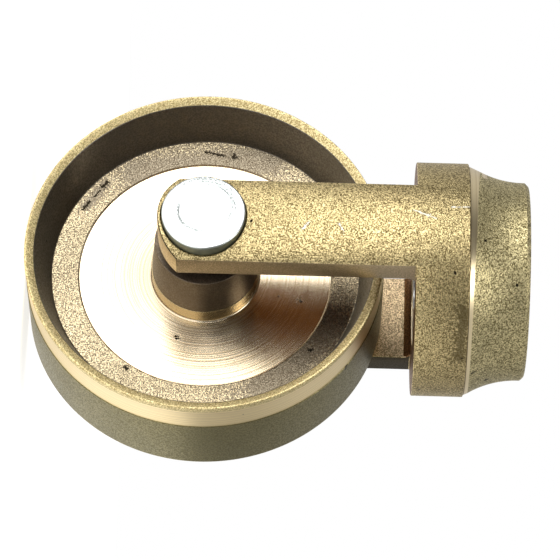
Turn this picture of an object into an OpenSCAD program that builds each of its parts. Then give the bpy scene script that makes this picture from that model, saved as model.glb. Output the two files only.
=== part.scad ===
// Cast-brass swivel castor: a deep-rimmed wheel on a riveted axle, carried in a
// two-armed fork that turns on a ball race under a flared leg collar.
// Frame: +Z runs up the swivel axis, out of the leg socket. +Y runs along the
// wheel's axle, and the side seen first faces -Y. The origin is the centre of
// the socket's mouth, so the castor hangs below it. Sizes are in millimetres.

/* [Wheel] */
// Diameter of the wheel over its tread
wheel_d = 60; // [48:1:75]
// Width of the wheel over its rim
wheel_w = 19.6; // [15:0.2:25]
// Wall of the rim at its lip
lip_t = 1.6; // [1:0.1:3]
// Wall of the rim where it meets the web
rim_root_t = 4.1; // [3:0.1:6]
// Fall of the lip's face towards the inside
lip_fall = 0.8; // [0:0.1:1.5]
// Thickness of the web as cast
web_t = 2.6; // [2:0.1:4]
// Diameter of the turned face on each side of the web
face_d = 42.8; // [34:0.2:46]
// Depth of the facing cut into the web
face_cut = 0.25; // [0.1:0.05:0.4]
// Length of the hub that stands proud of the rim on each side
hub_proud = 2.4; // [1:0.1:5]
// Diameter of the hub at its end
hub_top_d = 16.4; // [13:0.1:18]
// Diameter of the hub at the foot of its cast taper
hub_base_d = 17.7; // [15:0.1:22]
// Height of the turned foot of the hub above the facing
foot_h = 3; // [1:0.1:6]
// Step from the cast taper out to the turned foot
foot_step = 0.15; // [0.1:0.05:0.5]
// Fillet between the hub's foot and the facing
foot_fillet = 0.5; // [0.2:0.1:1]
// Bevel on the hub's ends
hub_bevel = 0.3; // [0.1:0.05:0.6]
// Width of cast rim left between the lip and the turned band on the -Y side
band_drop = 1.6; // [1:0.1:3]
// Width of that turned band
band_w = 5; // [3:0.1:8]
// Depth of the turned band below the cast tread
band_cut = 0.12; // [0.05:0.01:0.3]
// Bevel on the rim's outer corners
rim_bevel = 0.5; // [0.2:0.1:1]

/* [Axle] */
// Diameter of the axle rivet's shank
axle_d = 8; // [6:0.5:10]
// Diameter of the rivet's heads
rivet_head_d = 13.8; // [12:0.1:17]
// Thickness of the rivet's heads
rivet_head_t = 2.4; // [1.5:0.1:3]
// Diameter of the mark that the rolling die leaves on each head
rivet_mark_d = 8.6; // [7:0.1:11]
// Depth of that mark
rivet_mark_depth = 0.15; // [0.05:0.05:0.3]

/* [Fork] */
// Side float of the wheel between the arms, both sides together
wheel_float = 2.8; // [0.6:0.1:3.6]
// Thickness of an arm along its middle
arm_t = 6; // [4.5:0.1:8]
// Width of an arm
arm_w = 15.4; // [14.5:0.1:19]
// Length of an arm past the axle's centre
arm_past_axle = 7.6; // [7.2:0.1:10]
// Radius of an arm's rounded end
arm_end_r = 10.3; // [9:0.1:15]
// Fillet between the arms and the crown
arm_fillet = 1.5; // [0.5:0.1:2.5]
// Height of the crown, with the boss that stands inside the collar's skirt
crown_h = 10.6; // [9.4:0.1:14]
// Bevel of the crown's outer edges
crown_bevel = 0.2; // [0.1:0.05:0.5]
// Room between the wheel's tread and the crown
wheel_room = 5; // [3:0.1:9]

/* [Collar] */
// Height of the collar, without its skirt
collar_h = 8.1; // [7.9:0.1:12]
// Drop of the skirt round the crown's boss
skirt_h = 1.9; // [1:0.1:2.5]
// Thickness of the skirt at its foot
skirt_t = 2.5; // [2:0.1:2.8]
// Step in from the crown's side to the skirt's foot
skirt_step = 0.2; // [0.1:0.05:0.5]
// Height of the turned bevel round the skirt's foot
skirt_bevel_h = 1.9; // [0.5:0.1:2.5]
// Depth of that bevel at the foot
skirt_bevel_cut = 0.13; // [0.05:0.01:0.4]
// Diameter of the collar at its top, before the bevel
collar_top_d = 33.2; // [30:0.2:35]
// Turned bevel round the collar's top
collar_bevel = 0.6; // [0.3:0.1:1]
// Height of the upright neck above the cove
collar_neck_h = 0.9; // [0.7:0.1:2]
// Diameter of the leg socket
socket_d = 26; // [22:0.5:28]
// Depth of the leg socket
socket_depth = 4.5; // [3:0.1:4.8]

/* [Swivel] */
// Diameter of the bolt hole through the king pin
bolt_hole_d = 10.2; // [6.2:0.1:10.6]
// Diameter of the king pin's shank
king_pin_d = 14; // [13:0.1:15]
// Diameter of the king pin's lower flange
pin_flange_d = 22; // [19:0.5:24]
// Thickness of the king pin's lower flange
pin_flange_t = 2; // [1.5:0.1:2.5]
// Diameter of the king pin's rolled upper flange
pin_roll_d = 19.6; // [17:0.2:21]
// Thickness of the king pin's rolled upper flange
pin_roll_t = 1.5; // [1:0.1:1.8]
// Thickness of the washer on the lower flange
pin_washer_t = 0.9; // [0.6:0.1:1.2]
// Diameter of a swivel ball
ball_d = 3.5; // [2.9:0.1:3.9]
// Pitch diameter of the ring of balls
ball_pcd = 25; // [24:0.1:26]
// Width of a race
race_w = 5.2; // [4.4:0.1:5.6]
// Thickness of a race
race_t = 1.2; // [0.9:0.1:1.4]
// Depth of the track in a race
track_depth = 0.4; // [0.2:0.05:0.5]

/* [Clearances] */
// Gap at the seam between collar and crown
seam_gap = 0.1; // [0.1:0.02:0.3]
// Radial running clearance round a shank
run_clear = 0.08; // [0.03:0.01:0.1]
// Gap left between pieces that slide face to face
face_clear = 0.1; // [0.05:0.01:0.2]
// Gap round a ball in its track and beside its neighbours
ball_clear = 0.05; // [0.03:0.01:0.1]
// Gap round a flange, a head or a race in its recess
recess_clear = 0.2; // [0.1:0.05:0.3]

/* [Hidden] */
$fn = 96;

// Colours
cast_brass = "#9c8552";
turned_brass = "#d9bd7c";
zinc_steel = "#d4d8da";
race_steel = "#8d9094";

// Radii
wheel_r = wheel_d / 2;
axle_r = axle_d / 2;
head_r = rivet_head_d / 2;
shank_r = king_pin_d / 2;

// Across the axle
hub_len = wheel_w + 2 * hub_proud;
fork_gap = hub_len + wheel_float;
crown_r = fork_gap / 2 + arm_t;
arm_edge_y = sqrt(pow(crown_r, 2) - pow(arm_w / 2, 2));
wheel_shift = wheel_float / 2 - face_clear;

// Up the swivel axis, from the mouth of the socket down
seam_top = -collar_h;
crown_top = seam_top - seam_gap;
crown_bottom = crown_top - crown_h;
axle_z = crown_bottom - wheel_room - wheel_r;
tip_z = axle_z - arm_past_axle;
shoulder_z = crown_top - skirt_h;
skirt_z = seam_top - skirt_h;
skirt_r = crown_r - skirt_step;
boss_r = skirt_r - skirt_t - recess_clear;

// Ball race, stacked so that half the seam gap lies over and under the balls' middle
ball_r = ball_d / 2;
ball_orbit_r = ball_pcd / 2;
half_stack = ball_r + ball_clear - track_depth + race_t;
upper_recess_depth = 1.6;
ball_z = seam_top + upper_recess_depth - half_stack;
ball_count = floor(180 / asin((ball_r + ball_clear / 2) / ball_orbit_r));

// King pin
pin_seat_z = -socket_depth;
pin_flange_z = crown_bottom + recess_clear;
pin_washer_z = pin_flange_z + pin_flange_t;
crown_recess_depth = recess_clear + pin_flange_t + pin_washer_t + face_clear;

// Overshoot of a cut past the face it opens
cut = 1;

// Points of an arc about c, from angle a to angle b
function arc(c, r, a, b, steps = 10) =
    [for (i = [0 : steps]) c + r * [cos(a + (b - a) * i / steps), sin(a + (b - a) * i / steps)]];

// One side of the wheel's section, from the bore out to the lip, as [radius, height] points
function wheel_side() =
    let (face_h = web_t / 2 - face_cut,
         foot_r = hub_base_d / 2 + foot_step,
         foot_top = face_h + foot_h,
         face_r = face_d / 2)
    concat(
        [[axle_r + run_clear, hub_len / 2],
         [hub_top_d / 2 - hub_bevel, hub_len / 2],
         [hub_top_d / 2, hub_len / 2 - hub_bevel],
         [hub_base_d / 2, foot_top],
         [foot_r, foot_top]],
        arc([foot_r + foot_fillet, face_h + foot_fillet], foot_fillet, 180, 270),
        [[face_r - face_cut, face_h],
         [face_r, web_t / 2],
         [wheel_r - rim_root_t, web_t / 2],
         [wheel_r - lip_t, wheel_w / 2 - lip_fall],
         [wheel_r - rim_bevel, wheel_w / 2]]);

function reversed(points) = [for (i = [len(points) - 1 : -1 : 0]) points[i]];
function flipped(points) = [for (p = points) [p[0], -p[1]]];

module wheel_section() {
    side = wheel_side();
    band_r = wheel_r - band_cut;
    band_high = wheel_w / 2 - band_drop;
    band_low = band_high - band_w;
    polygon(concat(
        side,
        [[wheel_r, wheel_w / 2 - rim_bevel],
         [wheel_r, band_high + band_cut],
         [band_r, band_high],
         [band_r, band_low],
         [wheel_r, band_low - band_cut],
         [wheel_r, -wheel_w / 2 + rim_bevel]],
        reversed(flipped(side))));
}

// Turns a shape made about Z so that its top faces -Y at the axle
module on_axle() {
    translate([0, 0, axle_z]) rotate([90, 0, 0]) children();
}

module wheel() {
    color(cast_brass)
        translate([0, wheel_shift, 0])
            on_axle()
                rotate_extrude($fn = 180) wheel_section();
}

module axle_rivet() {
    head_top = arm_edge_y + rivet_head_t;
    color(zinc_steel)
        on_axle()
            difference() {
                union() {
                    cylinder(r = axle_r, h = 2 * arm_edge_y + rivet_head_t, center = true);
                    for (side = [0, 180])
                        rotate([side, 0, 0])
                            translate([0, 0, arm_edge_y])
                                rivet_head();
                }
                for (side = [0, 180])
                    rotate([side, 0, 0])
                        translate([0, 0, head_top - rivet_mark_depth])
                            rivet_mark();
            }
}

module rivet_head() {
    bevel = rivet_head_t / 8;
    rotate_extrude()
        polygon([[0, 0], [head_r, 0], [head_r, rivet_head_t - bevel],
                 [head_r - bevel, rivet_head_t], [0, rivet_head_t]]);
}

module rivet_mark() {
    mark_w = 0.6;
    difference() {
        cylinder(d = rivet_mark_d, h = cut);
        translate([0, 0, -cut]) cylinder(d = rivet_mark_d - 2 * mark_w, h = 3 * cut);
    }
}

// Outline of both arms, looking along the axle, up into the crown
module arm_outline() {
    top = crown_bottom + crown_h / 2;
    intersection() {
        translate([-arm_w / 2, tip_z]) square([arm_w, top - tip_z]);
        union() {
            translate([0, tip_z + arm_end_r]) circle(r = arm_end_r);
            translate([-arm_w / 2, tip_z + arm_end_r])
                square([arm_w, top - tip_z - arm_end_r]);
        }
    }
}

// Section of the room between the arms, looking across the fork
module gap_outline() {
    low = tip_z - cut;
    half = fork_gap / 2;
    polygon(concat(
        [[half, low]],
        arc([half - arm_fillet, crown_bottom - arm_fillet], arm_fillet, 0, 90),
        arc([-half + arm_fillet, crown_bottom - arm_fillet], arm_fillet, 90, 180),
        [[-half, low]]));
}

module crown_section() {
    polygon([[0, crown_bottom], [crown_r - crown_bevel, crown_bottom],
             [crown_r, crown_bottom + crown_bevel], [crown_r, shoulder_z - crown_bevel],
             [crown_r - crown_bevel, shoulder_z], [boss_r, shoulder_z],
             [boss_r, crown_top], [0, crown_top]]);
}

module fork_body() {
    rotate_extrude() crown_section();
    difference() {
        intersection() {
            translate([0, 0, tip_z])
                cylinder(r = crown_r, h = crown_bottom + crown_h / 2 - tip_z);
            rotate([90, 0, 0])
                linear_extrude(height = 2 * crown_r, center = true) arm_outline();
        }
        rotate([90, 0, 90])
            linear_extrude(height = 2 * crown_r, center = true) gap_outline();
    }
}

module fork() {
    spot_r = head_r + recess_clear;
    color(cast_brass)
        difference() {
            fork_body();
            on_axle() {
                cylinder(r = axle_r, h = 2 * crown_r + cut, center = true);
                for (side = [0, 180])
                    rotate([side, 0, 0])
                        translate([0, 0, arm_edge_y]) cylinder(r = spot_r, h = arm_t);
            }
            translate([0, 0, crown_bottom - cut])
                cylinder(r = shank_r + run_clear, h = crown_h + 2 * cut);
            translate([0, 0, crown_bottom - cut])
                cylinder(d = pin_flange_d + 2 * recess_clear, h = crown_recess_depth + cut);
            race_recess(ball_z - half_stack, crown_top + cut);
        }
}

// Ring-shaped recess for a race and the balls, between two heights
module race_recess(low, high) {
    outer = ball_orbit_r + race_w / 2;
    inner = ball_orbit_r - race_w / 2;
    translate([0, 0, low])
        difference() {
            cylinder(r = outer, h = high - low);
            translate([0, 0, -cut]) cylinder(r = inner, h = high - low + 2 * cut);
        }
}

// A race with its track towards the balls: side is 1 above them and -1 below
module race(side) {
    outer = ball_orbit_r + race_w / 2;
    inner = ball_orbit_r - race_w / 2;
    color(race_steel)
        translate([0, 0, ball_z])
            rotate_extrude()
                difference() {
                    translate([inner, side > 0 ? half_stack - race_t : -half_stack])
                        square([outer - inner, race_t]);
                    translate([ball_orbit_r, 0]) circle(r = ball_r + ball_clear);
                }
}

module upper_race() {
    race(1);
}

module lower_race() {
    race(-1);
}

module swivel_balls() {
    color(zinc_steel)
        for (i = [0 : ball_count - 1])
            rotate([0, 0, 360 * i / ball_count])
                translate([ball_orbit_r, 0, ball_z]) sphere(r = ball_r, $fn = 48);
}

module king_pin() {
    flange_top = pin_flange_z + pin_flange_t;
    color(zinc_steel)
        difference() {
            union() {
                translate([0, 0, pin_flange_z]) cylinder(d = pin_flange_d, h = pin_flange_t);
                translate([0, 0, flange_top]) cylinder(r = shank_r, h = pin_seat_z - flange_top);
                translate([0, 0, pin_seat_z - pin_roll_t]) cylinder(d = pin_roll_d, h = pin_roll_t);
            }
            translate([0, 0, pin_flange_z - cut])
                cylinder(d = bolt_hole_d, h = pin_seat_z - pin_flange_z + 2 * cut);
        }
}

module pin_washer() {
    color(race_steel)
        translate([0, 0, pin_washer_z])
            difference() {
                cylinder(d = pin_flange_d, h = pin_washer_t);
                translate([0, 0, -cut])
                    cylinder(r = shank_r + run_clear, h = pin_washer_t + 2 * cut);
            }
}

// The collar's section: a cove that rises from the skirt's foot and meets a short neck upright,
// with a shallow turned bevel across the cove's lower end
module collar_section() {
    top_r = collar_top_d / 2;
    cove_h = -skirt_z - collar_neck_h;
    cove_in = skirt_r - top_r;
    cove_r = (pow(cove_h, 2) + pow(cove_in, 2)) / (2 * cove_in);
    spread = asin((cove_h - skirt_bevel_h) / cove_r);
    skirt_inner_r = skirt_r - skirt_t;
    polygon(concat(
        [[0, seam_top], [skirt_inner_r, seam_top], [skirt_inner_r, skirt_z],
         [skirt_r - skirt_bevel_cut, skirt_z]],
        arc([top_r + cove_r, -collar_neck_h], cove_r, 180 + spread, 180, 16),
        [[top_r, -collar_bevel], [top_r - collar_bevel, 0], [0, 0]]));
}

module collar() {
    color(cast_brass)
        difference() {
            rotate_extrude() collar_section();
            translate([0, 0, -socket_depth]) cylinder(d = socket_d, h = socket_depth + cut);
            translate([0, 0, pin_seat_z - pin_roll_t])
                cylinder(d = pin_roll_d, h = pin_roll_t + cut);
            translate([0, 0, seam_top - cut]) cylinder(r = shank_r, h = collar_h);
            race_recess(seam_top - cut, ball_z + half_stack);
        }
}

collar();
upper_race();
king_pin();
pin_washer();
swivel_balls();
lower_race();
fork();
axle_rivet();
wheel();
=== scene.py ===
from math import asin, atan, cos, pi, radians, sin, sqrt, tan

import bpy
from mathutils import Matrix, Vector


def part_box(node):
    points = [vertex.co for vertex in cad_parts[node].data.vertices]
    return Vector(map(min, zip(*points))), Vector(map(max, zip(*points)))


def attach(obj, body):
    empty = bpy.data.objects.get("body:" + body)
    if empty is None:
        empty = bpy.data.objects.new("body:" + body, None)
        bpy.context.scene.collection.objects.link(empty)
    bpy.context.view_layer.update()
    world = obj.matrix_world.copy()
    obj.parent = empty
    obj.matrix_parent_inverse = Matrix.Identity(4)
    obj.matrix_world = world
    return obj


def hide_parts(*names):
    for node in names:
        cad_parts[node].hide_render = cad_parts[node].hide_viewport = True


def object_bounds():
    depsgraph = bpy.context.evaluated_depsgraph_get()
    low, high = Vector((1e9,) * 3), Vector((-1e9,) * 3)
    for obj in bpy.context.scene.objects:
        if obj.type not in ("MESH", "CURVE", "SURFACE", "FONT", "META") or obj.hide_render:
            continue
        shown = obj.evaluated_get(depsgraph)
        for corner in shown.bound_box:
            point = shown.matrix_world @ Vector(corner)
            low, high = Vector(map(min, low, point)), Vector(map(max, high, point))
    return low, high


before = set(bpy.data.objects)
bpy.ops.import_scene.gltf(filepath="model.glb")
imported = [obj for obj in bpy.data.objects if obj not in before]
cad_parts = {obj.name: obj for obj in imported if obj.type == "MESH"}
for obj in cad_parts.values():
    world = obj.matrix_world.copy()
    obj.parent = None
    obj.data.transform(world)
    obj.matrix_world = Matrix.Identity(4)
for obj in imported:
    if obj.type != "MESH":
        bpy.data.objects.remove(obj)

mm = 0.001
reach = 30  # how far cutting tools reach past the castor's middle, in millimetres
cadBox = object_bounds()
print("castor loaded from the frame")

# where things are, in millimetres, read from the CAD nodes
wheelLow, wheelHigh = [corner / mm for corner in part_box("wheel")]
forkLow, forkHigh = [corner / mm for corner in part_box("fork")]
rivetLow, rivetHigh = [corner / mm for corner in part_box("axle_rivet")]
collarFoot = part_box("collar")[0].z / mm
wheelMiddle = (wheelLow + wheelHigh) / 2
wheelRadius = (wheelHigh.z - wheelLow.z) / 2
hubHalf = (wheelHigh.y - wheelLow.y) / 2
axleHeight = wheelMiddle.z
crownRadius = forkHigh.x
crownTop = forkHigh.z
armTip = forkLow.z
swivelAxis = Vector((0, 0, 0))


class Wire:
    # an output socket that Python's operators can do sums with
    def __init__(self, tree, socket):
        self.tree = tree
        self.socket = socket

    def sum(self, operation, first, second=None):
        return self.tree.node("ShaderNodeMath", {"operation": operation}, first, second)

    def __add__(self, other):
        return self.sum("ADD", self, other)

    def __radd__(self, other):
        return self.sum("ADD", other, self)

    def __sub__(self, other):
        return self.sum("SUBTRACT", self, other)

    def __rsub__(self, other):
        return self.sum("SUBTRACT", other, self)

    def __mul__(self, other):
        return self.sum("MULTIPLY", self, other)

    def __rmul__(self, other):
        return self.sum("MULTIPLY", other, self)

    def __truediv__(self, other):
        return self.sum("DIVIDE", self, other)

    def __pow__(self, other):
        return self.sum("POWER", self, other)

    def most(self, other):
        return self.sum("MAXIMUM", self, other)

    def least(self, other):
        return self.sum("MINIMUM", self, other)

    def size(self):
        return self.sum("ABSOLUTE", self)


class Tree:
    def __init__(self, block):
        block.use_nodes = True
        self.nodes = block.node_tree.nodes
        self.links = block.node_tree.links
        self.nodes.clear()

    def node(self, kind, settings=None, *values, out=0, **named):
        # settings first, then sockets in order or by name; the result is the output numbered out
        made = self.nodes.new(kind)
        for key, value in (settings or {}).items():
            setattr(made, key, value)
        pairs = list(zip(made.inputs, values))
        pairs += [(self.find(made, key), value) for key, value in named.items()]
        for socket, value in pairs:
            if isinstance(value, Wire):
                self.links.new(value.socket, socket)
            elif value is not None:
                socket.default_value = value
        return Wire(self, made.outputs[out]) if made.outputs else None

    def find(self, made, key):
        return next(s for s in made.inputs if s.enabled and s.name == key.replace("_", " "))

    def vector(self, operation, first, second, out=0):
        return self.node("ShaderNodeVectorMath", {"operation": operation}, first, second, out=out)

    def place(self):
        return self.node("ShaderNodeTexCoord", out=3)  # Object coordinates

    def split(self, vector):
        whole = self.node("ShaderNodeSeparateXYZ", None, vector)
        return [Wire(self, socket) for socket in whole.socket.node.outputs]

    def rise(self, value, low, high):
        # 0 below low, 1 above high, smooth between; low may be the larger
        smooth = {"interpolation_type": "SMOOTHSTEP"}
        return self.node("ShaderNodeMapRange", smooth, value, low, high, 0.0, 1.0)

    def blend(self, factor, first, second):
        made = self.nodes.new("ShaderNodeMix")
        made.data_type = "RGBA"
        sockets = (made.inputs[0], made.inputs[6], made.inputs[7])  # factor and the two colours
        for socket, value in zip(sockets, (factor, first, second)):
            if isinstance(value, Wire):
                self.links.new(value.socket, socket)
            else:
                socket.default_value = (*value, 1) if isinstance(value, tuple) else value
        return Wire(self, made.outputs[2])

    def noise(self, vector, size, detail=2.0, rough=0.5):
        # size is that of one lump, in millimetres
        return self.node("ShaderNodeTexNoise", None, Vector=vector, Scale=1 / (size * mm),
                         Detail=detail, Roughness=rough)

    def near(self, place, start, end=None):
        # how far, in millimetres, place is from a point or from the line between two points
        away = self.vector("SUBTRACT", place, Vector(start) * mm)
        if end is None:
            return self.vector("LENGTH", away, None, out=1) / mm
        run = (Vector(end) - Vector(start)) * mm
        along = self.vector("DOT_PRODUCT", away, run, out=1)
        part = (along / run.length_squared).most(0.0).least(1.0)
        foot = self.node("ShaderNodeVectorMath", {"operation": "SCALE"}, run, Scale=part)
        return self.vector("DISTANCE", away, foot, out=1) / mm

    def marks(self, place, marks):
        # how strongly a place is marked, 0 to 1; each mark is a start, an end or None, and a half width
        ragged = self.rise(self.noise(place, 0.45, 3.0, 0.7), 0.4, 0.62) * 1.5 + 0.5
        total = None
        for start, end, width in marks:
            one = self.rise(self.near(place, start, end) * ragged, width, width * 0.55)
            total = one if total is None else total.most(one)
        return total

    def rings(self, radius, size, detail=2.0):
        return self.node("ShaderNodeTexNoise", {"noise_dimensions": "1D"}, W=radius / (size * mm),
                         Scale=1.0, Detail=detail)

    def bump(self, height, depth):
        return self.node("ShaderNodeBump", None, Strength=1.0, Distance=depth * mm, Height=height)

    def metal(self, colour, roughness, normal):
        surface = self.node("ShaderNodeBsdfPrincipled", None, Base_Color=colour, Metallic=1.0,
                            Roughness=roughness, Normal=normal)
        self.node("ShaderNodeOutputMaterial", None, surface)


def newMaterial(name):
    material = bpy.data.materials.new(name)
    return material, Tree(material)


castBrass = dict(light=(0.88, 0.705, 0.36),    # clean metal
                 olive=(0.79, 0.645, 0.33),    # cloudy tarnish
                 pit=(0.17, 0.125, 0.05),      # between the sand grains
                 hole=(0.02, 0.016, 0.01),     # small holes left by gas in the casting
                 scratchAndGlint=(1.0, 0.96, 0.84),    # bare metal in a fresh scratch, lightened nearly to white as a painted glint
                 grain=0.22, facet=0.24, lump=1.3, cloud=9.0, holes=1.9,  # sizes in millimetres
                 depth=0.065, rough=0.34)


def sandCast(name, look, pits=(), scratches=(), darkPatches=()):
    # sand-cast brass: grains, darker pits, cloudy tarnish, a few holes, this casting's own marks, and darker
    # patches, some of which are painted shade
    material, tree = newMaterial(name)
    place = tree.place()
    grain = tree.noise(place, look["grain"], 1.0, 0.6)
    cells = tree.node("ShaderNodeTexVoronoi", None, Vector=place, Scale=1 / (look["facet"] * mm), out=1)
    facet = tree.split(cells)[0]
    speckle = grain + (facet - 0.5) * 0.22
    lump = tree.noise(place, look["lump"], 2.0)
    cloud = tree.noise(place, look["cloud"], 3.0, 0.6)
    hole = tree.rise(tree.noise(place, look["holes"], 1.0, 0.4), 0.215, 0.19)
    if pits:
        hole = hole.most(tree.marks(place, pits))
    height = grain + facet * 0.12 + lump * 0.6 - hole * 0.6
    colour = tree.blend(tree.rise(cloud, 0.35, 0.7), look["light"], look["olive"])
    # darker patches blended into the colour; on the web they include painted shade and a painted shadow of
    # the arm
    if darkPatches:
        colour = tree.blend(tree.marks(place, darkPatches) * 0.85, colour, look["darkPatchColour"])
    colour = tree.blend(tree.rise(speckle, 0.72, 0.30), colour, look["pit"])
    colour = tree.blend(hole, colour, look["hole"])
    roughness = look["rough"] + tree.rise(grain, 0.6, 0.4) * 0.15
    # scratches: bare metal, their colour lightened nearly to white as a painted glint
    if scratches:
        bare = tree.marks(place, scratches)
        colour = tree.blend(bare, colour, look["scratchAndGlint"])
        roughness = roughness + bare * 0.25
        height = height - bare * 1.2
    tree.metal(colour, roughness, tree.bump(height, look["depth"]))
    return material


turnedBrass = dict(colour=(0.90, 0.77, 0.56),
                   groove=(0.62, 0.46, 0.25),  # the bottoms of the lathe's grooves
                   spot=(0.03, 0.02, 0.012),   # small holes that the cut opened
                   pitch=0.32, spots=1.1, bruise=4.0,  # sizes in millimetres
                   depth=0.010, rough=0.16)


def turnedFace(name, look, centre, axis="Y", pits=()):
    # lathe-turned brass: rings about the axle or the swivel, small holes and bruises
    material, tree = newMaterial(name)
    place = tree.place()
    x, y, z = tree.split(place)
    across, along = (z - centre.z * mm, y) if axis == "Y" else (y, z)
    radius = (x * x + across * across) ** 0.5
    fine = tree.rings(radius + along, look["pitch"], 3.0)
    wide = tree.rings(radius + along, look["pitch"] * 5, 2.0)
    spot = tree.rise(tree.noise(place, look["spots"], 1.0, 0.4), 0.2, 0.17)
    if pits:
        spot = spot.most(tree.marks(place, pits))
    bruise = tree.noise(place, look["bruise"], 3.0)
    height = fine + wide * 0.8 - spot * 3
    colour = tree.blend(tree.rise(fine, 0.6, 0.35) * 0.5, look["colour"], look["groove"])
    colour = tree.blend(spot, colour, look["spot"])
    roughness = look["rough"] + bruise * 0.12
    tree.metal(colour, roughness, tree.bump(height, look["depth"]))
    return material


zincPlate = dict(colour=(0.86, 0.88, 0.88), shade=(0.50, 0.53, 0.52), rubAndShade=(0.11, 0.13, 0.12), rough=0.24,
                 ring=0.5, cloud=2.2, broken=0.3, depth=0.012)  # the last four in millimetres


def platedSteel(name, look, centre, axis="Y", rubsAndShade=()):
    # steel with a thin bright coat; each ring mark is a worn ring or a painted shade ring: its centre,
    # radius, half width and strong side
    material, tree = newMaterial(name)
    place = tree.place()
    x, y, z = tree.split(place)
    across = z - centre.z * mm if axis == "Y" else y
    radius = (x * x + across * across) ** 0.5
    rings = tree.rings(radius, look["ring"], 2.0)
    cloud = tree.noise(place, look["cloud"], 3.0, 0.6)
    colour = tree.blend(tree.rise(cloud, 0.45, 0.7) * 0.6, look["colour"], look["shade"])
    flat = tree.vector("MULTIPLY", place, (1, 0, 1))
    broken = tree.rise(tree.noise(place, look["broken"], 2.0, 0.6), 0.3, 0.55)
    # worn rings from the riveting tool, and along the head's edge a painted shade ring, darken the colour on
    # their strong side
    for middle, wide, half, side in rubsAndShade:
        away = tree.vector("SUBTRACT", flat, Vector(middle) * mm)
        aside = tree.vector("DOT_PRODUCT", away, side, out=1) / mm
        ring = tree.rise((tree.near(flat, middle) - wide).size(), half, 0.0)
        colour = tree.blend(ring * broken * tree.rise(aside, 0.0, wide * 0.8) * 0.9, colour, look["rubAndShade"])
    roughness = look["rough"] + cloud * 0.16
    tree.metal(colour, roughness, tree.bump(rings * 0.5 + cloud, look["depth"]))
    return material


# this castor's own marks, and darker patches of which some are painted shade, in millimetres: start, end or
# None, and half width
armScratches = [((2.0, -19.5, -37.5), (0.9, -19.6, -36.5), 0.22),
                ((1.1, -19.6, -31.6), (2.3, -19.5, -30.8), 0.22),
                ((-2.0, -19.5, -19.4), (-0.5, -19.6, -15.8), 0.15),
                ((-1.6, -19.5, -18.5), (-1.0, -19.6, -17.0), 0.3),
                ((-2.8, -19.4, -13.2), (-2.9, -19.4, -10.3), 0.12)]
# a dark band on the crown next to the collar
crownDarkBand = [((13.6, -14.1, -10.9), (18.4, -6.6, -11.4), 1.5)]
collarPits = [((18.9, -1.9, -8.6), None, 0.5), ((2.9, -18.8, -5.8), None, 0.3)]
lipPits = [((-8.6, -9.4, -82.1), None, 0.7), ((-7.3, -9.2, -82.6), None, 0.4)]
facePits = [((4.6, 0, -37.7), None, 0.5), ((12.3, 0, -58.0), None, 0.45)]
webPits = [((-11.8, 0, -75.0), (-13.4, 0, -74.0), 0.28), ((-14.4, 0, -73.2), (-15.6, 0, -72.4), 0.18),
           ((-16.4, 0, -71.9), (-17.3, 0, -71.2), 0.4), ((-23.0, 0, -49.8), None, 0.6),
           ((-23.9, 0, -54.8), (-23.2, 0, -51.5), 0.22), ((18.4, 0, -66.2), None, 0.5),
           ((14.1, 0, -35.7), None, 0.5)]
# on the web: the first patch is painted shade that darkens the web towards its top, standing in for a dark
# reflection; the middle one is a stain along the pits; the last is a painted shadow of the arm
webStainsAndShade = [((-19.5, 0, -66.0), (-22.6, 0, -44.0), 5.5), ((-12.5, 0, -74.5), (-17.0, 0, -71.5), 1.5),
             ((21.0, 0, -43.0), (9.0, 0, -33.0), 6.5)]

# worn rings on the rivet's head, the last of them a painted shade ring round its rounded edge: centre,
# radius, half width, and the side where each is strong
headRubsAndEdgeShade = [((-0.6, 0, -53.8), 4.2, 0.5, (0.7, 0, -0.7)),
            ((-1.0, 0, -53.4), 4.3, 0.45, (-0.6, 0, 0.8)),
            ((-0.9, 0, -53.5), 4.9, 0.45, (-0.8, 0, 0.6)),
            ((-0.5, 0, -53.7), 5.8, 0.45, (-0.97, 0, 0.2)),
            ((0, 0, -53.8), 6.75, 0.45, (-1, 0, 0))]

castSkin = sandCast("sandCastBrass", {**castBrass, "darkPatchColour": (0.20, 0.16, 0.08)},
                    scratches=armScratches, darkPatches=crownDarkBand)
coveSkin = sandCast("collarCoveBrass",
                    {**castBrass, "light": (0.86, 0.74, 0.41), "olive": (0.70, 0.61, 0.345),
                     "pit": (0.16, 0.13, 0.055), "rough": 0.42}, pits=collarPits)
# painted shade: the near arm's inner face and the crown's underside are coloured dark red-brown, standing in
# for their shade and for the dark brass-on-brass reflection they give in the web; the far arm's inner face
# keeps ordinary brass
insideShadeSkin = sandCast("forkInsidePaintedShade",
                      {**castBrass, "light": (0.26, 0.13, 0.05), "olive": (0.21, 0.105, 0.04),
                       "pit": (0.10, 0.05, 0.02), "rough": 0.42})
farInsideSkin = sandCast("farArmInsideBrass",
                         {**castBrass, "light": (0.92, 0.71, 0.44), "olive": (0.80, 0.62, 0.38),
                          "pit": (0.26, 0.19, 0.11), "rough": 0.36})
sideSkin = sandCast("armSideBrass",
                    {**castBrass, "light": (0.62, 0.48, 0.30), "olive": (0.53, 0.41, 0.26),
                     "pit": (0.38, 0.30, 0.18), "depth": 0.015})
# painted shade: the far arm's side faces get a near-black copy of the brass, standing in for the shade they
# lie in
farSideShadeSkin = sandCast("farArmSidePaintedShade",
                       {**castBrass, "light": (0.08, 0.06, 0.035), "olive": (0.065, 0.05, 0.03),
                        "pit": (0.05, 0.04, 0.02), "depth": 0.02, "rough": 0.4})
endSkin = sandCast("armEndBrass",
                   {**castBrass, "light": (0.86, 0.69, 0.40), "olive": (0.72, 0.57, 0.33),
                    "pit": (0.6, 0.46, 0.26), "depth": 0.015})
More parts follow.
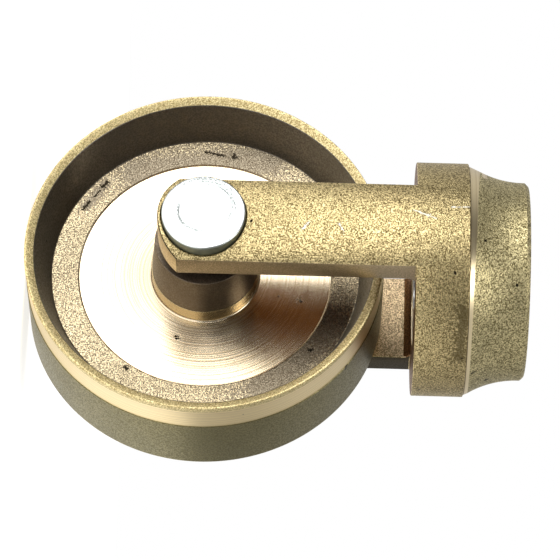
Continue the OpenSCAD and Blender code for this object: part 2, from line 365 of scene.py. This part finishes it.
# painted shade: the rounded edge round each arm's end is coloured nearly black, a dark outline standing in
# for the shade line there
endEdgeShadeSkin = sandCast("armEndEdgePaintedShade",
                    {**castBrass, "light": (0.03, 0.022, 0.012), "olive": (0.03, 0.022, 0.012),
                     "pit": (0.02, 0.015, 0.01), "depth": 0.02, "rough": 0.4})
# painted shade: the hub, under the arm, gets a dark brown copy of the brass standing in for the shade it sits
# in
hubShadeSkin = sandCast("hubPaintedShadeBrass",
                   {**castBrass, "light": (0.22, 0.175, 0.125), "olive": (0.17, 0.135, 0.10),
                    "pit": (0.15, 0.115, 0.08), "depth": 0.015})
treadSkin = sandCast("treadBrass",
                     {**castBrass, "light": (0.285, 0.245, 0.11), "olive": (0.24, 0.21, 0.095),
                      "pit": (0.17, 0.145, 0.065), "grain": 0.3, "depth": 0.03})
lipSkin = sandCast("lipBrass",
                   {**castBrass, "light": (0.98, 0.84, 0.46), "olive": (0.90, 0.76, 0.42),
                    "pit": (0.46, 0.35, 0.155), "rough": 0.42}, pits=lipPits)
# painted shade: the rim's inner wall is coloured dark grey-brown, standing in for the shade and dark
# reflection inside that recess
wallShadeSkin = sandCast("innerWallPaintedShade",
                    {**castBrass, "light": (0.25, 0.225, 0.19), "olive": (0.20, 0.185, 0.155),
                     "pit": (0.16, 0.145, 0.12), "grain": 0.3, "depth": 0.015})
webSkin = sandCast("webBrass",
                   {**castBrass, "light": (0.66, 0.545, 0.345), "olive": (0.54, 0.45, 0.285),
                    "pit": (0.11, 0.085, 0.055), "darkPatchColour": (0.21, 0.18, 0.135), "depth": 0.035,
                    "rough": 0.26}, pits=webPits, darkPatches=webStainsAndShade)
turnedAboutAxle = turnedFace("turnedWebBrass", turnedBrass, wheelMiddle, pits=facePits)
turnedBand = turnedFace("turnedBandBrass",
                        {**turnedBrass, "colour": (0.98, 0.80, 0.45), "rough": 0.3, "depth": 0.006},
                        wheelMiddle)
# painted shade: a darker copy of the turned brass for the step round the hub's foot, standing in for the
# shade and dark reflection there
footShadeBrass = turnedFace("turnedFootPaintedShade", {**turnedBrass, "colour": (0.52, 0.41, 0.23), "rough": 0.2},
                       wheelMiddle)
turnedAboutSwivel = turnedFace("turnedCollarBrass", {**turnedBrass, "rough": 0.3, "depth": 0.006},
                               swivelAxis, "Z")
bevelBrass = turnedFace("turnedBevelBrass",
                        {**turnedBrass, "colour": (0.90, 0.75, 0.47), "rough": 0.26, "depth": 0.006},
                        swivelAxis, "Z")
zinc = platedSteel("zincPlatedSteel", zincPlate, wheelMiddle, rubsAndShade=headRubsAndEdgeShade)
# painted shade: a darker copy of the zinc plate for the head's rim, standing in for its dark reflection
zincSideShade = platedSteel("zincHeadSidePaintedShade",
                       {**zincPlate, "colour": (0.36, 0.39, 0.34), "shade": (0.22, 0.24, 0.20),
                        "rough": 0.34},
                       wheelMiddle)
zincPin = platedSteel("zincPlatedPin", zincPlate, swivelAxis, "Z")
raceSteel = platedSteel("raceSteel",
                        {**zincPlate, "colour": (0.50, 0.51, 0.52), "shade": (0.30, 0.31, 0.32),
                         "rough": 0.3},
                        swivelAxis, "Z")
ballSteel = platedSteel("ballSteel",
                        {**zincPlate, "colour": (0.8, 0.81, 0.82), "shade": (0.6, 0.61, 0.62), "rough": 0.1},
                        swivelAxis, "Z")
print("finishes made")


def softened(corners, steps=4):
    # rounds each (radius, height, rounding) corner of a closed outline
    outline = []
    for i, (radius, height, rounding) in enumerate(corners):
        here = Vector((radius, height))
        if not rounding:
            outline.append(here)
            continue
        toLast = (Vector(corners[i - 1][:2]) - here).normalized()
        toNext = (Vector(corners[(i + 1) % len(corners)][:2]) - here).normalized()
        half = toLast.angle(toNext) / 2
        centre = here + (toLast + toNext).normalized() * rounding / sin(half)
        start = here + toLast * rounding / tan(half) - centre
        end = here + toNext * rounding / tan(half) - centre
        for step in range(steps + 1):
            outline.append(centre + start.lerp(end, step / steps).normalized() * rounding)
    return outline


def mirrored(side):
    # the same corners on the other side of the middle, in the order that goes on round the outline
    return [(radius, -height, rounding) for radius, height, rounding in reversed(side)]


def selectOnly(piece):
    bpy.ops.object.select_all(action="DESELECT")
    piece.select_set(True)
    bpy.context.view_layer.objects.active = piece


def penLine(points, closed=True):
    # one vertex, extruded along the points and left in edit mode
    bpy.ops.object.select_all(action="DESELECT")
    bpy.ops.mesh.primitive_plane_add(size=mm, location=points[0])
    bpy.ops.object.mode_set(mode="EDIT")
    bpy.ops.mesh.select_all(action="SELECT")
    bpy.ops.mesh.merge(type="CENTER")
    for last, point in zip(points, points[1:] + points[:1] if closed else points[1:]):
        bpy.ops.mesh.extrude_region_move(TRANSFORM_OT_translate={"value": point - last})
    bpy.ops.mesh.select_all(action="SELECT")
    bpy.ops.mesh.remove_doubles(threshold=0.0005 * mm)


def leaveEdit(name):
    bpy.ops.mesh.select_all(action="SELECT")
    bpy.ops.mesh.remove_doubles(threshold=0.0005 * mm)
    bpy.ops.mesh.normals_make_consistent(inside=False)
    bpy.ops.object.mode_set(mode="OBJECT")
    bpy.ops.object.transform_apply(location=True, rotation=False, scale=False)
    made = bpy.context.object
    made.name = name
    made.data.name = name
    return made


def lathe(name, outline, middle, axis="Z", steps=256):
    # spins an outline of (radius, height) about an axis; about the axle, height runs towards -Y
    # an outline that starts and ends on the axis is left open there
    lift = Vector((0, 0, 1)) if axis == "Z" else Vector((0, -1, 0))
    points = [(middle + Vector((1, 0, 0)) * radius + lift * height) * mm for radius, height in outline]
    penLine(points, closed=outline[0][0] > 0)
    bpy.ops.mesh.spin(steps=steps, angle=2 * pi, center=middle * mm, axis=lift)
    return leaveEdit(name)


def slab(name, points, depth):
    # a flat closed outline, filled and pushed through by the depth vector
    penLine([point * mm for point in points])
    bpy.ops.mesh.edge_face_add()
    bpy.ops.mesh.extrude_region_move(TRANSFORM_OT_translate={"value": depth * mm})
    return leaveEdit(name)


def rod(radius, start, end):
    middle = (start + end) / 2
    run = end - start
    bpy.ops.object.select_all(action="DESELECT")
    bpy.ops.mesh.primitive_cylinder_add(vertices=128, radius=radius * mm, depth=run.length * mm,
                                        location=middle * mm, rotation=run.to_track_quat("Z", "Y").to_euler())
    bpy.ops.object.transform_apply(location=True, rotation=True, scale=False)
    return bpy.context.object


def combine(piece, tool, operation):
    selectOnly(piece)
    bpy.ops.object.modifier_add(type="BOOLEAN")
    step = piece.modifiers[-1]
    step.object = tool
    step.operation = operation
    step.solver = "EXACT"
    bpy.ops.object.modifier_apply(modifier=step.name)
    bpy.data.objects.remove(tool)


def finishEdges(piece, width, angle=28):
    # joins what the cuts left in slivers, then rounds every edge sharper than the angle
    selectOnly(piece)
    bpy.ops.object.mode_set(mode="EDIT")
    bpy.ops.mesh.select_all(action="SELECT")
    bpy.ops.mesh.remove_doubles(threshold=0.03 * mm)
    bpy.ops.mesh.dissolve_limited(angle_limit=radians(0.2))
    bpy.ops.object.mode_set(mode="OBJECT")
    bpy.ops.object.modifier_add(type="BEVEL")
    step = piece.modifiers[-1]
    step.width = width * mm
    step.segments = 3
    step.limit_method = "ANGLE"
    step.angle_limit = radians(angle)
    step.use_clamp_overlap = False
    bpy.ops.object.modifier_apply(modifier=step.name)


def dress(piece, materials, choose, body, node):
    # choose gives each face its material from its middle, in millimetres, and its normal
    piece.data.materials.clear()
    for material in materials:
        piece.data.materials.append(material)
    for face in piece.data.polygons:
        face.material_index = materials.index(choose(face.center / mm, face.normal))
    selectOnly(piece)
    bpy.ops.object.shade_smooth_by_angle(angle=radians(30))
    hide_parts(node)
    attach(piece, body)


wheel = dict(halfWidth=9.8,                  # half the rim's width
             lip=1.6, lipFall=0.8,           # the rim's edge: its width and how far it slopes in
             rootWall=4.1, web=1.3,          # the rim's thickness at the web, and half the web's
             face=21.4, faceCut=0.25,        # the turned face of the web
             hubTop=8.2, hubBase=8.85,       # the hub's cone
             foot=3.0, footStep=0.15,        # the turned step round the foot of the hub
             bandHigh=8.2, bandLow=3.2, bandCut=0.12,  # the turned band on the tread
             bore=4.08)


def wheelSide(size):
    # corners from the bore to the rim's outer edge, heights from the middle of the web
    faceHeight = size["web"] - size["faceCut"]
    footTop = faceHeight + size["foot"]
    footRadius = size["hubBase"] + size["footStep"]
    return [(size["bore"], hubHalf, 0.15),
            (size["hubTop"], hubHalf, 0.12),
            (size["hubBase"], footTop, 0),
            (footRadius, footTop, 0.08),
            (footRadius, faceHeight, 0.35),
            (size["face"] - size["faceCut"], faceHeight, 0.05),
            (size["face"], size["web"], 0.08),
            (wheelRadius - size["rootWall"], size["web"], 0.35),
            (wheelRadius - size["lip"], size["halfWidth"] - size["lipFall"], 0.3),
            (wheelRadius, size["halfWidth"], 0.25)]


def makeWheel(size):
    side = wheelSide(size)
    cut = wheelRadius - size["bandCut"]
    tread = [(wheelRadius, size["bandHigh"] + 0.7, 0), (cut, size["bandHigh"], 0),
             (cut, size["bandLow"], 0), (wheelRadius, size["bandLow"] - size["bandCut"], 0)]
    piece = lathe("wheelCasting", softened(side + tread + mirrored(side)), wheelMiddle, "Y", 288)

    def finish(point, facing):
        # from the tread inwards; the small amounts take in the rounded corners
        away = point - wheelMiddle
        radius = sqrt(away.x ** 2 + away.z ** 2)
        height = -away.y
        if size["bandLow"] < height < size["bandHigh"] and radius > cut - 0.2:
            return turnedBand
        if radius > wheelRadius - 0.2 and -size["bandHigh"] - 0.1 < height < size["bandHigh"] - 0.1:
            return treadSkin
        if abs(height) > size["bandHigh"] - 0.3 and radius > wheelRadius - size["lip"] + 0.1:
            return lipSkin
        if radius > wheelRadius - size["rootWall"] - 0.05:
            return wallShadeSkin
        if radius > size["face"] - 0.02:
            return webSkin
        if radius < size["hubBase"] - 0.02:
            return hubShadeSkin
        if radius < size["hubBase"] + size["footStep"] + 0.02:
            return footShadeBrass
        return turnedAboutAxle

    skins = [lipSkin, treadSkin, wallShadeSkin, webSkin, hubShadeSkin, turnedAboutAxle, footShadeBrass, turnedBand]
    dress(piece, skins, finish, "wheel_body", "wheel")


makeWheel(wheel)
print("wheel modelled")


rivet = dict(shank=4.0, head=6.9, thick=2.4,                     # the head's radius and thickness
             mark=4.2, outerMark=5.2, markWide=0.25, markDeep=0.06)  # rings left by the riveting tool


def makeRivet(size):
    half = (rivetHigh.y - rivetLow.y) / 2
    seat = half - size["thick"]
    mark, outerMark = size["mark"], size["outerMark"]
    wide, deep = size["markWide"], size["markDeep"]
    side = [(size["shank"], seat, 0),
            (size["head"], seat, 0.15),
            (size["head"], half, 0.3),
            (outerMark + wide, half, 0.05),
            (outerMark, half - deep / 2, 0.05),
            (outerMark - wide, half, 0.05),
            (mark + wide, half, 0.05),
            (mark, half - deep, 0.05),
            (mark - wide, half, 0.05),
            (0, half, 0)]
    middle = Vector((0, 0, axleHeight))
    piece = lathe("axleRivetBar", softened(mirrored(side) + side), middle, "Y", 128)

    def finish(point, facing):
        radius = sqrt(point.x ** 2 + (point.z - axleHeight) ** 2)
        return zincSideShade if radius > size["head"] - 0.06 else zinc

    dress(piece, [zinc, zincSideShade], finish, "fork_body", "axle_rivet")


makeRivet(rivet)
print("axle rivet modelled")


fork = dict(armWidth=15.4, armEnd=10.3,         # the arms' width and the radius of their round ends
            gap=13.6, gapFillet=1.5,            # half the room between the arms, and its fillet
            shoulder=1.9, boss=16.7, crown=10.6,  # the crown's step, the boss above it, its whole height
            seat=7.1, bore=4.0,                 # where the rivet's heads and shank go
            race=(9.9, 15.1), raceDeep=3.5,     # recess for the lower race
            flange=11.2, flangeDeep=3.2, pinBore=7.08,  # recess and bore for the king pin
            edge=0.16)                          # rounding of the edges


def makeFork(size):
    crownBottom = crownTop - size["crown"]
    raceFloor = crownTop - size["raceDeep"]
    under = armTip - 5
    inner, outer = size["race"]
    ring = [(size["pinBore"], crownBottom + size["flangeDeep"]),
            (size["flange"], crownBottom + size["flangeDeep"]),
            (size["flange"], armTip - 1),
            (crownRadius, armTip - 1),
            (crownRadius, crownTop - size["shoulder"]),
            (size["boss"], crownTop - size["shoulder"]),
            (size["boss"], crownTop),
            (outer, crownTop), (outer, raceFloor), (inner, raceFloor), (inner, crownTop),
            (size["pinBore"], crownTop)]
    piece = lathe("forkCasting", ring, swivelAxis)

    # what is beside and below the arms is cut away
    half, endRadius = size["armWidth"] / 2, size["armEnd"]
    centreHeight = armTip + endRadius
    lean = asin(half / endRadius)
    end = [(endRadius * sin(lean * step / 12), centreHeight - endRadius * cos(lean * step / 12))
           for step in range(-12, 13)]
    beside = [(-reach, crownBottom), (-half, crownBottom)] + end
    beside += [(half, crownBottom), (reach, crownBottom), (reach, under), (-reach, under)]
    outline = [Vector((x, -reach, z)) for x, z in beside]
    combine(piece, slab("besideArms", outline, Vector((0, 2 * reach, 0))), "DIFFERENCE")

    # the room for the wheel, with a fillet under the crown
    gap, fillet = size["gap"], size["gapFillet"]
    turns = [radians(15 * step) for step in range(7)]
    room = [Vector((-reach, gap - fillet + fillet * cos(turn), crownBottom - fillet + fillet * sin(turn)))
            for turn in turns]
    room += [Vector((-reach, -point.y, point.z)) for point in reversed(room)]
    room += [Vector((-reach, -gap, under)), Vector((-reach, gap, under))]
    combine(piece, slab("wheelRoom", room, Vector((2 * reach, 0, 0))), "DIFFERENCE")

    # seats for the rivet's heads, and the bore for its shank
    seatFace = rivetHigh.y - rivet["thick"]
    for way in (-1, 1):
        seat = rod(size["seat"], Vector((0, way * seatFace, axleHeight)),
                   Vector((0, way * reach, axleHeight)))
        combine(piece, seat, "DIFFERENCE")
    bore = rod(size["bore"], Vector((0, -reach, axleHeight)), Vector((0, reach, axleHeight)))
    combine(piece, bore, "DIFFERENCE")
    finishEdges(piece, size["edge"])

    def finish(point, facing):
        # from the top down; the small amounts take in the rounded edges
        radius = sqrt(point.x ** 2 + point.y ** 2)
        if point.z > crownTop - size["shoulder"] - 0.05 and radius < crownRadius - 0.3:
            return turnedAboutSwivel
        if radius < outer + 0.1 and point.z > crownBottom + 0.1:
            return turnedAboutSwivel
        if point.z < crownBottom - 2 and abs(abs(point.x) - half) < 0.03:
            return sideSkin if point.y < 0 else farSideShadeSkin
        fromEnd = sqrt(point.x ** 2 + (point.z - centreHeight) ** 2)
        if point.z < centreHeight and fromEnd > endRadius - 0.2:
            return endSkin if fromEnd > endRadius - 0.03 else endEdgeShadeSkin
        if point.z < crownBottom + 0.05 and abs(point.y) < gap + 0.02:
            return insideShadeSkin if point.y < gap - 0.1 else farInsideSkin
        return castSkin

    skins = [castSkin, turnedAboutSwivel, sideSkin, farSideShadeSkin, insideShadeSkin, farInsideSkin, endSkin, endEdgeShadeSkin]
    dress(piece, skins, finish, "fork_body", "fork")


makeFork(fork)
print("fork modelled")


collar = dict(skirt=19.4, skirtDrop=1.9, skirtInner=16.9,  # the foot, which hides the race
              top=16.6, neck=0.9, bevel=0.6,               # the narrow end of the cove
              socket=13.0, socketDeep=4.5,                 # where the furniture's leg goes
              roll=9.8, rollDeep=1.5, pin=7.0,             # recess and bore for the king pin
              race=(9.9, 15.1), raceDeep=1.6,              # recess for the upper race
              cutAngle=24, cutRadius=19.195, cutShift=(0.086, -0.02, 0))  # the turned bevel round the foot


def makeCollar(size):
    low = collarFoot + size["skirtDrop"]
    coveHigh = -size["neck"] - collarFoot
    coveIn = size["skirt"] - size["top"]
    coveRadius = (coveHigh ** 2 + coveIn ** 2) / (2 * coveIn)
    spread = 2 * atan(coveIn / coveHigh)
    cove = [(size["top"] + coveRadius * (1 - cos(spread * step / 20)),
             -size["neck"] - coveRadius * sin(spread * step / 20), 0) for step in range(20, -1, -1)]
    inner, outer = size["race"]
    floor = -size["socketDeep"]
    corners = cove + [
        (size["top"], -size["bevel"], 0.25), (size["top"] - size["bevel"], 0, 0.25),
        (size["socket"], 0, 0.3), (size["socket"], floor, 0.2), (size["roll"], floor, 0.1),
        (size["roll"], floor - size["rollDeep"], 0), (size["pin"], floor - size["rollDeep"], 0),
        (size["pin"], low, 0), (inner, low, 0), (inner, low + size["raceDeep"], 0),
        (outer, low + size["raceDeep"], 0), (outer, low, 0),
        (size["skirtInner"], low, 0), (size["skirtInner"], collarFoot, 0.2)]
    piece = lathe("collarCasting", softened(corners), swivelAxis)

    # the foot's turned bevel was cut a little off centre, so that it is wide on one side only
    fall = tan(radians(size["cutAngle"]))
    cutTop = collarFoot + 3
    above = 25
    profile = [Vector((0, collarFoot - 1)), Vector((size["cutRadius"] + fall, collarFoot - 1)),
               Vector((size["cutRadius"] - fall * 3, cutTop)), Vector((reach, cutTop)),
               Vector((reach, above)), Vector((0, above))]
    shift = Vector(size["cutShift"])
    combine(piece, lathe("bevelCut", profile, shift), "INTERSECT")

    def finish(point, facing):
        radius = sqrt(point.x ** 2 + point.y ** 2)
        aside = sqrt((point.x - shift.x) ** 2 + (point.y - shift.y) ** 2)
        onCone = abs(aside - size["cutRadius"] + fall * (point.z - collarFoot)) < 0.03
        if onCone and abs(facing.z - sin(radians(size["cutAngle"]))) < 0.02:
            return bevelBrass
        if radius > size["top"] - size["bevel"] - 0.02:
            return coveSkin
        return turnedAboutSwivel

    dress(piece, [coveSkin, turnedAboutSwivel, bevelBrass], finish, "collar_body", "collar")


makeCollar(collar)
print("collar modelled")

# the small steel parts inside keep their CAD shape
for name, material in {"king_pin": zincPin, "pin_washer": raceSteel, "upper_race": raceSteel,
                       "lower_race": raceSteel, "swivel_balls": ballSteel}.items():
    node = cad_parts[name]
    node.data.materials.clear()
    node.data.materials.append(material)


camera = dict(azimuth=29.32, elevation=0.64, roll=91.55,  # turned, as the castor lies on its side
              distance=607.3, lookAt=(0.6, 0.5, -41.2), lens=232.1)


def placeCamera(look):
    azimuth, elevation = radians(look["azimuth"]), radians(look["elevation"])
    back = Vector((sin(azimuth) * cos(elevation), -cos(azimuth) * cos(elevation), sin(elevation)))
    turn = (-back).to_track_quat("-Z", "Y") @ Matrix.Rotation(radians(look["roll"]), 4, "Z").to_quaternion()
    bpy.ops.object.camera_add(location=(Vector(look["lookAt"]) + back * look["distance"]) * mm,
                              rotation=turn.to_euler())
    bpy.context.object.data.lens = look["lens"]
    bpy.context.object.data.clip_start = 0.01
    bpy.context.scene.camera = bpy.context.object


placeCamera(camera)

lights = dict(distance=0.5,
              key=dict(towards=(-0.385, -0.92, 0.03), size=(0.3, 0.41), brightness=4.1),
              side=dict(towards=(0.30, -0.50, 0.81), size=(0.27, 0.16), brightness=5.5))


def softLight(name, towards, size, brightness):
    # towards points from the castor to the light; brightness is that of its face, paper white being 1
    away = Vector(towards).normalized()
    centre = (cadBox[0] + cadBox[1]) / 2
    bpy.ops.object.light_add(type="AREA", location=centre + away * lights["distance"],
                             rotation=away.to_track_quat("Z", "X").to_euler())
    lamp = bpy.context.object
    lamp.name = name
    lamp.data.shape = "RECTANGLE"
    lamp.data.size = size[0]
    lamp.data.size_y = size[1]
    lamp.data.energy = brightness * pi * size[0] * size[1]


softLight("keySoftbox", **lights["key"])
softLight("sideSoftbox", **lights["side"])

room = dict(base=0.56,                                            # how bright a pale wall is
            dark=0.95, darkSide=(0.0, -1.0, 0.1), fade=(0.0, 0.75),  # the dark room in front
            patch=0.35, patchSide=(0.5, 0.87, 0), patchFade=(0.84, 0.98))  # a greyer patch behind


def makeRoom(look):
    world = bpy.data.worlds.new("paleRoom")
    bpy.context.scene.world = world
    tree = Tree(world)
    way = tree.node("ShaderNodeTexCoord", out=0)
    front = tree.rise(tree.vector("DOT_PRODUCT", way, look["darkSide"], out=1), *look["fade"])
    behind = tree.rise(tree.vector("DOT_PRODUCT", way, look["patchSide"], out=1), *look["patchFade"])
    shade = look["base"] * (1 - front * look["dark"]) * (1 - behind * look["patch"])
    lit = tree.node("ShaderNodeBackground", None, (1, 1, 1, 1), shade)
    white = tree.node("ShaderNodeBackground", None, (1, 1, 1, 1), 1.0)
    seen = tree.node("ShaderNodeLightPath")
    tree.node("ShaderNodeOutputWorld", None, tree.node("ShaderNodeMixShader", None, seen, lit, white))
    bpy.context.scene.view_settings.view_transform = "Standard"


makeRoom(room)

ground = dict(radius=0.3, drop=0.05, paper=0.8, glow=0.75)


def makeFloor(look):
    bpy.ops.object.select_all(action="DESELECT")
    bpy.ops.mesh.primitive_circle_add(vertices=96, radius=look["radius"], fill_type="NGON",
                                      location=(0, 0, cadBox[0].z - look["drop"] * mm))
    floor = bpy.context.object
    floor.name = "floor"
    material, tree = newMaterial("paleFloor")
    paper = tree.node("ShaderNodeBsdfDiffuse", None, (look["paper"], look["paper"], look["paper"], 1))
    glow = tree.node("ShaderNodeEmission", None, (1, 1, 1, 1), look["glow"])
    tree.node("ShaderNodeOutputMaterial", None, tree.node("ShaderNodeAddShader", None, paper, glow))
    floor.data.materials.append(material)


makeFloor(ground)
print("camera, light and floor placed")
